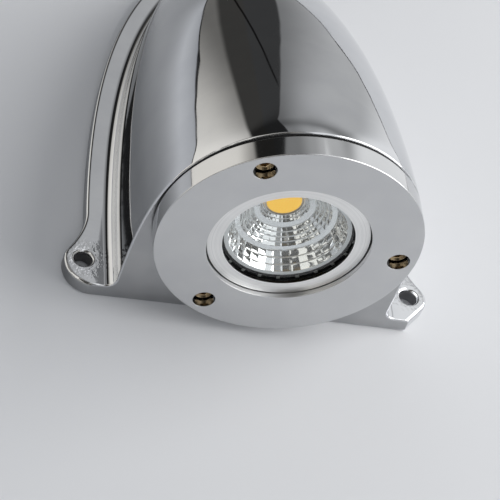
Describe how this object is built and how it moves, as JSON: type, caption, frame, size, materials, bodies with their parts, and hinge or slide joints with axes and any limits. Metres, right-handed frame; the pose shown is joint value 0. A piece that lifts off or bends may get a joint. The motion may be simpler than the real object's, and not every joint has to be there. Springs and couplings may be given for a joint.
{
  "type": "wall light",
  "caption": "Chrome bullet-shaped wall light with a round bezel ring, recessed LED reflector behind glass, and a flange with screw ears.",
  "frame": {"origin": "centre of the footprint, on the plane of the wall", "axes": "+Z out of the wall, -Y the way the light shines (downwards on a wall), +Y to the tail, +X to the right seen from the lit end"},
  "size_m": [0.1444, 0.2058, 0.1023],
  "materials": {
    "chrome": "polished chrome plate on a zinc casting",
    "satin_steel": "fine satin face with a polished edge",
    "black_rubber": "moulded black rubber",
    "bronzed_steel": "dark bronzed steel",
    "brushed_aluminium": "pale brushed aluminium",
    "clear_glass": "clear toughened glass",
    "mirror_plastic": "vacuum metallised facets",
    "phosphor": "yellow silicone over the light source",
    "white_board": "white solder mask on a metal core",
    "white_plastic": "moulded white plastic",
    "zinc_steel": "zinc plated steel",
    "black_anodised": "black anodised, bright rim teeth",
    "green_board": "green circuit board",
    "copper_winding": "yellow tape over a winding",
    "blue_can": "sleeved capacitor can",
    "brass": "plain brass",
    "red_insulation": "silicone insulation",
    "black_insulation": "silicone insulation",
    "brown_insulation": "pvc insulation",
    "blue_insulation": "pvc insulation",
    "green_insulation": "green and yellow pvc insulation"
  },
  "bodies": {
    "root": {"housing": "chrome", "bezel_ring": "satin_steel", "bezel_gasket": "black_rubber", "bezel_screw_1": "bronzed_steel", "bezel_screw_2": "bronzed_steel", "bezel_screw_3": "bronzed_steel", "trim_ring": "brushed_aluminium", "front_glass": "clear_glass", "glass_seal": "black_rubber", "reflector": "mirror_plastic", "led_phosphor": "phosphor", "led_board": "white_board", "led_holder": "white_plastic", "led_holder_screw_1": "zinc_steel", "led_holder_screw_2": "zinc_steel", "heat_sink": "black_anodised", "back_plate": "zinc_steel", "back_plate_screw_1": "zinc_steel", "back_plate_screw_2": "zinc_steel", "back_plate_screw_3": "zinc_steel", "back_plate_screw_4": "zinc_steel", "cable_grommet": "black_rubber", "driver_case": "white_plastic", "driver_lid": "white_plastic", "driver_board": "green_board", "driver_transformer": "copper_winding", "driver_capacitor": "blue_can", "driver_screw_1": "zinc_steel", "driver_screw_2": "zinc_steel", "terminal_block": "white_plastic", "terminal_fixing_screw": "zinc_steel", "terminal_clamp_screw_1": "zinc_steel", "terminal_clamp_screw_2": "zinc_steel", "terminal_clamp_screw_3": "zinc_steel", "terminal_clamp_screw_4": "zinc_steel", "terminal_clamp_screw_5": "zinc_steel", "terminal_clamp_screw_6": "zinc_steel", "earth_screw": "brass", "led_lead_positive": "red_insulation", "led_lead_negative": "black_insulation", "lead_live": "brown_insulation", "lead_neutral": "blue_insulation", "lead_earth": "green_insulation"}
  },
  "joints": []
}
